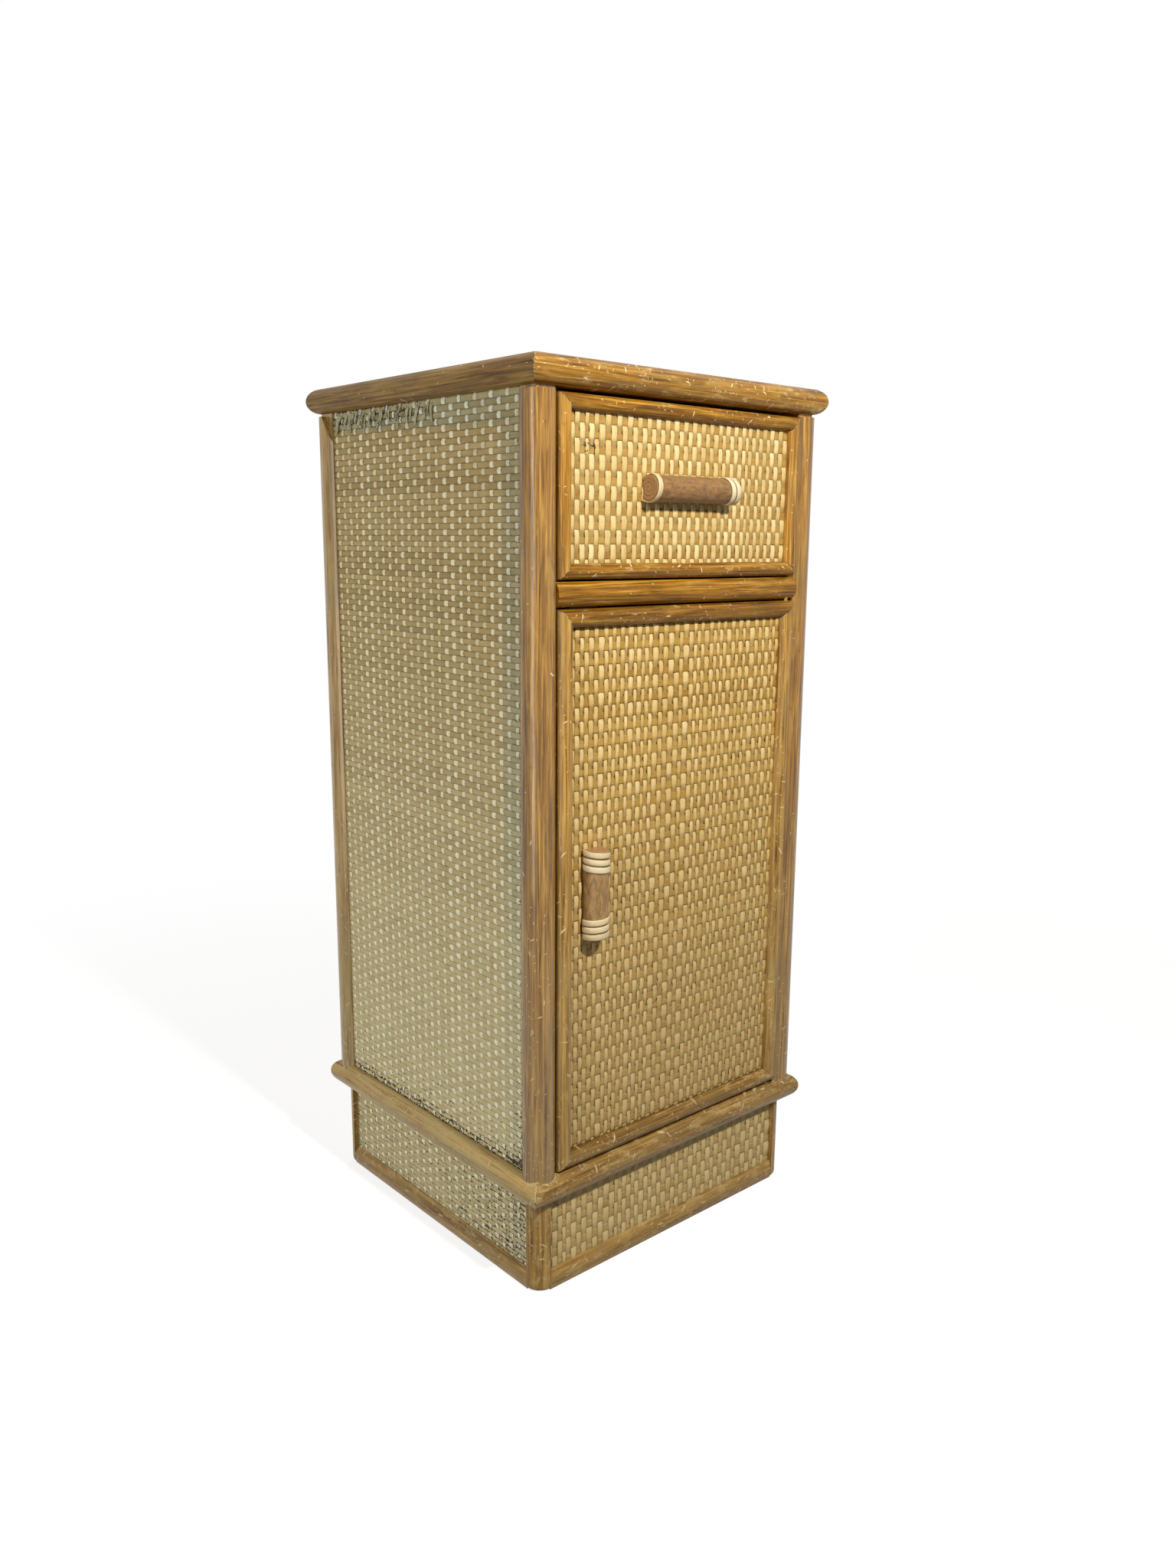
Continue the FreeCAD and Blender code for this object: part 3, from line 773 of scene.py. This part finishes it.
def weave(name, panels, body, node, looks, steps, age=untouched, grime=untouched):
    """Fine and cross strands of one woven node of one or more panels, each set a piece."""
    for number, panel in enumerate(panels):
        fine_edges = uneven_edges(panel.cross_length, looks["pitch"], looks["spread"])
        fine_centres = (fine_edges[1:] + fine_edges[:-1]) / 2
        cross_edges = uneven_edges(panel.fine_length, looks["cross_pitch"], cross_spread)
        cross_centres = (cross_edges[1:] + cross_edges[:-1]) / 2
        cross_noise = 1 + rng.normal(0, cross_width_spread, len(cross_centres))
        cross_widths = looks["cross_width"] * np.clip(cross_noise, *cross_width_limits)
        made = {
            "fine": weave_strands(
                panel, fine_centres, np.diff(fine_edges), cross_centres, panel.fine_length,
                steps, looks["fine_shape"], 1, False,
            ),
            "cross": weave_strands(
                panel, cross_centres, cross_widths, fine_centres, panel.cross_length,
                cross_steps, looks["cross_shape"], -1, True,
            ),
        }
        tail = f"_{number + 1}" if len(panels) > 1 else ""
        for kind, (points, values) in made.items():
            values["age"] = age(points)
            values["grime"] = grime(points)
            # dim carries painted shade lower on the door and an even browning on the plinth; grey
            # carries painted shade
            values["dim"] = looks["dim"](points)
            values["grey"] = looks["grey"](points)
            piece_name = f"{name}_{kind}_strands{tail}"
            mesh = strand_mesh(piece_name, points, values)
            add_piece(piece_name, mesh, looks[kind], body, "woven_rattan", node)


@dataclass
class Shape:
    """A strand: its edges' drop, its wave's height and squareness, how it tips, takes painted
    shade, wavers.
    """

    crown: float
    amplitude: float
    flat: float
    thickness: float = fine_thickness
    bias: float = float_bias
    swell: float = 0.0
    tilt: float = 0.0
    fade: float = 0.0
    uneven: float = 0.08


straw = strand_material(
    "straw",
    pale=(0.860, 0.705, 0.380), middle=(0.770, 0.595, 0.278),
    dark=(0.600, 0.425, 0.155), deep=(0.340, 0.212, 0.054),
)
tan = strand_material(
    "tan", gloss=0.40,
    pale=(0.510, 0.322, 0.085), middle=(0.410, 0.238, 0.052),
    dark=(0.290, 0.154, 0.026), deep=(0.180, 0.092, 0.014),
)
deep_tan = strand_material(
    "deep_tan", gloss=0.40,
    pale=(0.590, 0.370, 0.090), middle=(0.480, 0.285, 0.055),
    dark=(0.340, 0.185, 0.028), deep=(0.180, 0.088, 0.011),
)
# The door's strands: stronger painted shade at their edges
honey = strand_material(
    "honey", edge_shade=0.75,
    pale=(0.900, 0.715, 0.355), middle=(0.810, 0.600, 0.255),
    dark=(0.640, 0.435, 0.145), deep=(0.320, 0.185, 0.040),
)
olive = strand_material(
    "olive", gloss=0.46, specular=0.25, aged=(0.790, 0.705, 0.410),
    pale=(0.600, 0.454, 0.202), middle=(0.490, 0.360, 0.152),
    dark=(0.356, 0.253, 0.097), deep=(0.160, 0.108, 0.038),
)
# The side's cross strands: a pale peel, made paler still as a painted highlight where they glint
cream = strand_material(
    "cream", gloss=0.26, specular=0.60, aged=(1.000, 0.950, 0.680),
    pale=(1.000, 0.900, 0.600), middle=(0.970, 0.830, 0.500),
    dark=(0.640, 0.510, 0.260), deep=(0.320, 0.230, 0.090),
)
drawer_looks = {
    "fine": straw, "cross": tan,
    "pitch": 0.0051, "spread": 0.13, "cross_pitch": 0.0109, "cross_width": 0.0062,
    "fine_shape": Shape(0.00034, 0.00055, 2.0, swell=0.03, tilt=0.40, fade=1.0),
    "cross_shape": Shape(0.00012, 0.00030, 1.0, cross_thickness, bias=0.0),
    "dim": untouched, "grey": untouched,
}
door_looks = {
    **drawer_looks, "fine": honey, "cross": deep_tan, "pitch": 0.00488, "spread": 0.17,
    "fine_shape": Shape(0.00080, 0.00060, 1.7, swell=0.09, tilt=0.40, fade=1.0, uneven=0.12),
    # dim: painted shade, darker towards the floor where the lamp's light falls off
    "dim": downwards(door_shade_heights, 0.90, 0.30),
}
plinth_looks = {
    **drawer_looks, "fine": honey, "cross": deep_tan, "pitch": 0.0058, "cross_pitch": 0.0116,
    "fine_shape": Shape(0.00068, 0.00065, 1.4, swell=0.12, tilt=0.30, fade=0.8, uneven=0.11),
    "dim": even(plinth_browning),
}
side_looks = {
    "fine": olive, "cross": cream,
    "pitch": 0.00485, "spread": 0.05, "cross_pitch": 0.0103, "cross_width": 0.0049,
    "fine_shape": Shape(0.00016, 0.00034, 1.6),
    "cross_shape": Shape(0.00020, 0.00058, 1.2, cross_thickness, bias=0.0, uneven=0.16),
    "dim": untouched, "grey": side_shade,
# grey: painted shade under the top board and beside the front post
}


def face_panel(low, high, fine, across, out):
    """A panel on a box's face such as -Y: axes of its fine strands and of its cross strands."""
    low, high, ways = np.array(low, float), np.array(high, float), np.eye(3)
    run, cross, side = ("XYZ".index(axis) for axis in (fine, across, out[1]))
    size = high - low
    corner, outward = low.copy(), -ways[side]
    if out[0] == "+":
        corner[side], outward = high[side], ways[side]
    return Panel(corner, ways[run], size[run], ways[cross], size[cross], outward)


def strip_panel(board, along, out):
    """A panel of the plinth: as long as its board, as high as the woven strips."""
    run = "XYZ".index(along)
    board_low, board_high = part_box(board)
    low, high = (np.array(corner, float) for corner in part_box("plinth_woven"))
    low[run], high[run] = board_low[run], board_high[run]
    fine, across = ("Z", "X") if along == "X" else ("Y", "Z")
    return face_panel(low, high, fine, across, out)


def side_grime(points):
    """Painted shade as dark specks beside the front post; grime towards the floor and in the torn
    strands at the top.
    """
    x, y, z = np.moveaxis(points, -1, 0)
    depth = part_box("side_woven_left")[1][2] - z
    torn = fall(x, *torn_side) * fall(depth, *torn_depths) * smoothstep(y, *torn_run)
    # Specks beside the front post: painted shade
    low = 0.35 * fall(z, *foot_dirt_heights) + 0.30 * fall(y, *post_speck_shade_run)
    return low + 0.60 * torn + 0.40 * fall(z, *band_dirt_heights)


def blot(points, oval, core):
    """1 in the core of an oval on a front and 0 outside it."""
    x, z, half_x, half_z = oval
    apart = np.hypot((points[..., 0] - x) / half_x, (points[..., 2] - z) / half_z)
    return fall(apart, core, 1.0)


def door_grime(points):
    """A few dark nicks low in the middle of the door."""
    return 0.27 * blot(points, door_blot, 0.3) + 0.06 * fall(points[..., 2], *door_dirt_heights)


def drawer_grime(points):
    """A few dark nicks at the upper left of the drawer."""
    return 0.55 * blot(points, drawer_blot, 0.4)


def plinth_grime(points):
    """Many dark nicks, most at the left side near the front corner."""
    x, y, z = np.moveaxis(points, -1, 0)
    corner = 0.22 * fall(y, *plinth_corner_run) * fall(x, *plinth_corner_width)
    side = fall(x, *plinth_left_side)
    return 0.05 + (0.19 + 1.4 * corner) * side + 0.12 * fall(z, *plinth_foot_heights)


def make_weaves():
    """Woven pieces for every woven sheet of the frame."""
    side_age, front_age = downwards(bleach_heights, 0.78), downwards(dull_heights, 0.20)
    front, left, right = ("Z", "X", "-Y"), ("Y", "Z", "-X"), ("Y", "Z", "+X")
    sheets = (
        ("drawer", "drawer", "drawer_woven_panel", front, drawer_looks, 6, untouched, drawer_grime),
        ("door", "door", "door_woven_panel", front, door_looks, 4, front_age, door_grime),
        ("left", "carcass", "side_woven_left", left, side_looks, 4, side_age, side_grime),
        ("right", "carcass", "side_woven_right", right, side_looks, 4, side_age, side_grime),
        ("back", "carcass", "back_woven", ("X", "Z", "+Y"), side_looks, 3, side_age, side_grime),
        ("top", "carcass", "top_woven_panel", ("Y", "X", "+Z"), drawer_looks, 4),
    )
    for name, body, node, ways, *looks in sheets:
        weave(name + "_weave", [face_panel(*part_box(node), *ways)], body, node, *looks)
    strips = (
        ("plinth_front", "X", (("front", "-Y"), ("back", "+Y")), plinth_looks, plinth_front_age),
        ("plinth_side", "Y", (("left", "-X"), ("right", "+X")), side_looks, plinth_side_age),
    )
    for name, along, boards, looks, age in strips:
        panels = [strip_panel("plinth_board_" + board, along, out) for board, out in boards]
        weave(name + "_weave", panels, "carcass", "plinth_woven", looks, 4, even(age), plinth_grime)


# Cane bindings and torn strands

def bind_handle(name, body, axis, turns, material):
    """Cane wound on both ends of a pole, from the woven face round the front and back to it."""
    low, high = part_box(name + "_handle")
    along = "XYZ".index(axis)
    side = 0 if axis == "Z" else 2
    centre = (np.array(low, float) + np.array(high, float)) / 2
    centre[1] = high[1] - handle_proud
    reach = math.acos(-handle_proud / (handle_radius + cane_thickness))
    angles = np.linspace(-reach, reach, cane_samples)
    v = section_across
    upper = handle_radius + cane_thickness * (1 - cane_edge_drop * v**4)
    radius = np.where(section_top, upper, handle_radius + cane_lift)
    strips, strands, tones = [], [], []
    for end, inward, count in ((low[along], 1, turns[0]), (high[along], -1, turns[1])):
        for turn in range(count):
            width = cane_width * (1 + rng.normal(0, cane_width_spread))
            middle = end + inward * (cane_margin + cane_width / 2 + cane_pitch * turn)
            place = middle + inward * cane_pitch * angles / (2 * math.pi)
            ring = np.zeros((len(angles), len(v), 3))
            ring[..., along] = place[:, None] + width / 2 * v[None]
            ring[..., 1] = centre[1] - radius[None] * np.cos(angles)[:, None]
            ring[..., side] = centre[side] + radius[None] * np.sin(angles)[:, None]
            strips.append(ring)
            run = np.broadcast_to((angles * handle_radius)[:, None], ring.shape[:2])
            strands.append(strand_vectors(run))
            tones.append(np.full(run.shape, rng.random()))
    values = {"strand": np.stack(strands), "tone": np.stack(tones)}
    mesh = strand_mesh(name + "_cane", np.stack(strips), values)
    add_piece(name + "_cane", mesh, material, body, "cane", name + "_handle_binding")


def frayed_ends(material):
    """Torn ends that stand off the left side just under the top board, most of them at the back."""
    low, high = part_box("side_woven_left")
    count = torn_count
    share = np.linspace(0, 1, torn_samples)[None]
    y = torn_back - torn_reach * rng.random(count)[:, None] ** 1.3
    lean = rng.normal(0, torn_lean, count)[:, None]
    length = rng.uniform(*torn_lengths, count)[:, None]
    curl = rng.uniform(*torn_curls, count)[:, None]
    start = high[2] - torn_start - rng.uniform(0.0, torn_start_spread, count)[:, None]
    place_y = y + length * np.sin(lean) * share + torn_wave * np.sin(3 * share + lean)
    place_z = start - length * np.cos(lean) * share
    place_x = low[0] + torn_inset - curl * share**2
    half = rng.uniform(*torn_half_widths, count)[:, None] * (1 - 0.45 * share**3)
    thick = np.where(section_top, torn_half_thickness, -torn_half_thickness)
    ring_y = place_y[..., None] + half[..., None] * np.cos(lean)[..., None] * section_across
    ring_z = place_z[..., None] + half[..., None] * np.sin(lean)[..., None] * section_across
    ring_x = np.broadcast_to(place_x[..., None] - thick, ring_y.shape)
    run = np.broadcast_to((length * share)[..., None], ring_y.shape)
    tone = per_strand(rng.random(count), run)
    age = per_strand(rng.uniform(0.1, 0.8, count), run)
    grime = per_strand(rng.choice([0.0, 0.6], count, p=[0.7, 0.3]), run)
    values = {
        "strand": strand_vectors(run), "tone": tone, "age": age, "grime": grime,
        # Torn ends all take the cool painted shade under the top board
        "dim": 0.8 * age, "grey": np.ones(run.shape),
    }
    mesh = strand_mesh("frayed_ends", np.stack([ring_x, ring_y, ring_z], -1), values)
    add_piece("frayed_ends", mesh, material, "carcass", "woven_rattan")


# Carried-over nodes

def dress(names, material):
    """Give CAD nodes a material."""
    for name in names:
        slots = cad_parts[name].data.materials
        slots.clear()
        slots.append(material)


def dress_mouldings():
    """Mitred frames of the top, the band and the fronts, each with its grain along its length."""
    around = ("XY", (0.0, 0.0), (cad_high[0], cad_high[1]))
    mitres = {"top_moulding": around, "band": around}
    for part in ("drawer_frame", "door_frame"):
        low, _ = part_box(part + "_bottom")
        _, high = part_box(part + "_top")
        middle, half = (low[2] + high[2]) / 2, (high[2] - low[2]) / 2
        mitres[part] = ("XZ", (0.0, middle), (high[0], half))
    ends, sides, levels = ("front", "back"), ("left", "right"), ("top", "bottom")
    finishes = (
        ("top_moulding", "X", ends, {"shade": 0.78, "wear": 0.85, "bleach": 0.12}),
        # The top's sides: a darker copy of the front's stain, a painted shade on the left face
        ("top_moulding", "Y", sides, {"shade": 0.50, "wear": 0.16, "bleach": 0.22, "gloss": 0.40}),
        ("band", "X", ends, {"shade": 0.80, "wear": 0.70, "bleach": 0.10}),
        # The band's sides: bleached paler, and a lighter copy as painted light on the left side
        ("band", "Y", sides, {"shade": 1.45, "wear": 0.80, "bleach": 0.90}),
        ("drawer_frame", "X", levels, {"shade": 0.76, "wear": 0.60}),
        ("drawer_frame", "Z", sides, {"wear": 0.35, "bleach": 0.15}),
        ("door_frame", "X", levels, {"shade": 0.64, "wear": 0.50}),
        ("door_frame", "Z", sides, {"shade": 0.95, "wear": 0.45, "bleach": 0.42}),
    )
    for part, along, pair, finish in finishes:
        material = stained_wood(f"{part}_{along}", along, mitre=mitres[part], **finish)
        dress([f"{part}_{end}" for end in pair], material)


def dress_posts():
    """Corner posts, the rail and the plinth's corners and trims."""
    # The back posts: bleached paler, and lighter as a painted highlight along the back-left post
    for end, bleach, shade in (("front", 0.16, 0.82), ("back", 0.75, 1.05)):
        posts = [f"corner_post_{end}_{side}" for side in ("left", "right")]
        wood = stained_wood(f"{end}_post_wood", "Z", shade, 0.05, bleach, gloss=0.14, shine=0.55)
        dress(posts, wood)
    dress(["front_rail"], stained_wood("rail_wood", "X", shade=0.80, wear=0.20))
    dress(["plinth_corner_posts"], stained_wood("plinth_post_wood", "Z", wear=0.65, bleach=0.20))
    dress(["plinth_trims"], stained_wood("trim_wood", "around", wear=0.65, bleach=0.20))


def dress_boards():
    """Plywood and softwood boards, those under a weave first, then those inside."""
    for side in ("left", "right"):
        low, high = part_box("side_board_" + side)
        reach = high[0] if side == "right" else -low[0]
        dress(["side_board_" + side], board_wood("side_board_" + side, "Y", ("X", reach)))
    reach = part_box("plinth_board_right")[1][0]
    plinth_deep = board_wood("plinth_deep", "Y", ("X", reach))
    dress(["plinth_board_left", "plinth_board_right"], plinth_deep)
    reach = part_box("plinth_board_back")[1][1]
    plinth_wide = board_wood("plinth_wide", "X", ("Y", reach))
    dress(["plinth_board_front", "plinth_board_back"], plinth_wide)
    dress(["back_board"], board_wood("back_board", "Z", ("Y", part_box("back_board")[1][1])))
    front = board_wood("front_boards", "Z", ("Y", -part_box("door_panel_board")[0][1]))
    dress(["drawer_panel_board", "door_panel_board"], front)
    dress(["top_core_board"], board_wood("top_board", "X", ("Z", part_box("top_core_board")[1][2])))
    deep = ["drawer_side_left", "drawer_side_right", "drawer_guide_left", "drawer_guide_right"]
    dress(deep, board_wood("board_deep", "Y"))
    wide = ["divider_board", "bottom_board", "drawer_bottom", "drawer_back", "drawer_stops"]
    dress(wide, board_wood("board_wide", "X"))


def dress_handles():
    """Rattan poles and the hardware."""
    # The door's pole: a lighter, yellower copy of the drawer's, as painted light
    poles = (("drawer", "X", 0.80, (1.0, 0.53, 0.19)), ("door", "Z", 1.06, (1.0, 0.60, 0.24)))
    for part, along, shade, warm in poles:
        low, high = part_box(part + "_handle")
        middle = [(low[i] + high[i]) / 2 for i in range(3)]
        middle[1] = high[1] - handle_proud
        order = {"X": (0, 1, 2), "Z": (2, 0, 1)}[along]
        centre = [middle[i] for i in order]
        dress([part + "_handle"], pole_wood(part + "_pole", along, centre, shade, warm))
    steel = metal("zinc_steel", (0.55, 0.55, 0.54), (0.28, 0.26, 0.23), 0.30)
    dress(["drawer_handle_screws", "door_handle_screws", "catch_keeper_plate"], steel)
    brass = metal("dull_brass", (0.30, 0.20, 0.08), (0.12, 0.075, 0.03), 0.38)
    dress(["door_pivot_pins", "door_pivot_washer"], brass)
    dress(["magnetic_catch"], catch_plastic())


# Stage

def aim(place, target):
    """Rotation that points -Z from a place to a target."""
    return (Vector(target) - Vector(place)).to_track_quat("-Z", "Y").to_euler()


def add_lamp(name, place, target, power, colour, size, mirrored=True):
    """An area lamp: a disk, or a rectangle of two sizes. mirrored tells if gloss shows it."""
    lamp = bpy.data.lights.new(name, "AREA")
    lamp.energy = power
    lamp.color = colour
    if isinstance(size, tuple):
        lamp.shape = "RECTANGLE"
        lamp.size, lamp.size_y = size
    else:
        lamp.shape = "DISK"
        lamp.size = size
    item = bpy.data.objects.new(name, lamp)
    item.location = place
    item.rotation_euler = aim(place, target)
    item.visible_camera = False
    item.visible_glossy = mirrored
    bpy.context.scene.collection.objects.link(item)


def seen_ray(t):
    """1 on rays that show a thing: from the camera, or by reflection or through glass."""
    rays = t.nodes.new("ShaderNodeLightPath").outputs
    kinds = ("Is Camera Ray", "Is Glossy Ray", "Is Transmission Ray")
    return t.chain("MAXIMUM", *(rays[kind] for kind in kinds))


def add_surround():
    """An even grey surround that shows as white."""
    world = bpy.data.worlds.new("surround")
    bpy.context.scene.world = world
    t = Tree("surround", world)
    inputs = {"Factor": seen_ray(t), "A": surround_strength, "B": backdrop_strength}
    background = t.nodes["Background"].inputs
    t.put(background["Strength"], t.node("ShaderNodeMix", inputs)["Result"])
    t.put(background["Color"], (1.0, 1.0, 1.0))


def floor_material():
    """Pale floor that keeps the shadow near the object and fades into the white surround."""
    t = Tree("pale_floor")
    t.nodes.remove(t.nodes["Principled BSDF"])
    x, y, _ = t.apart(t.place())
    away = t.math("SQRT", t.add(t.times(x, x), t.times(y, y)))
    fade = t.smooth(away, floor_fade_start, floor_fade_end)
    glow = t.add(floor_glow, t.times(fade, 1.0 - floor_glow))
    white = t.node("ShaderNodeEmission", {"Strength": glow})[0]
    grey = t.times(t.less(1.0, fade), floor_diffuse)
    shadowed = t.node("ShaderNodeBsdfDiffuse", {"Color": t.together(grey, grey, grey)})[0]
    shown = t.node("ShaderNodeAddShader", {0: white, 1: shadowed})[0]
    lit = t.node("ShaderNodeBsdfDiffuse", {"Color": (floor_bounce, floor_bounce, floor_bounce)})[0]
    seen = seen_ray(t)
    surface = t.node("ShaderNodeMixShader", {0: seen, 1: lit, 2: shown})[0]
    t.links.new(surface, t.nodes["Material Output"].inputs["Surface"])
    return t.owner


def add_floor():
    """The floor under the object."""
    mesh = bpy.data.meshes.new("floor")
    ways = ((-1, -1), (1, -1), (1, 1), (-1, 1))
    corners = [(x * floor_half, y * floor_half, 0) for x, y in ways]
    mesh.from_pydata(corners, [], [(0, 1, 2, 3)])
    mesh.materials.append(floor_material())
    floor = bpy.data.objects.new("floor", mesh)
    bpy.context.scene.collection.objects.link(floor)


def add_camera():
    """The photograph's camera, from its yaw, pitch and roll."""
    yaw, pitch, roll = (math.radians(a) for a in (camera_yaw, camera_pitch, camera_roll))
    level_part = math.cos(pitch)
    ahead = Vector((math.sin(yaw) * level_part, math.cos(yaw) * level_part, -math.sin(pitch)))
    level = Vector((math.cos(yaw), -math.sin(yaw), 0.0))
    down = ahead.cross(level)
    right = level * math.cos(roll) + down * math.sin(roll)
    up = level * math.sin(roll) - down * math.cos(roll)
    turn = Matrix((right, up, -ahead)).transposed().to_4x4()
    data = bpy.data.cameras.new("camera")
    data.lens = camera_lens
    data.sensor_width = camera_sensor
    camera = bpy.data.objects.new("camera", data)
    camera.matrix_world = Matrix.Translation(camera_place) @ turn
    bpy.context.scene.collection.objects.link(camera)
    bpy.context.scene.camera = camera


make_weaves()
frayed_ends(olive)
cane = cane_material()
bind_handle("drawer", "drawer", "X", (1, 2), cane)
bind_handle("door", "door", "Z", (3, 3), cane)
dress_mouldings()
dress_posts()
dress_boards()
dress_handles()
add_surround()
add_floor()
for lamp_name, lamp_values in lamps.items():
    add_lamp(lamp_name, **lamp_values)
add_camera()
bpy.context.scene.view_settings.view_transform = "Standard"
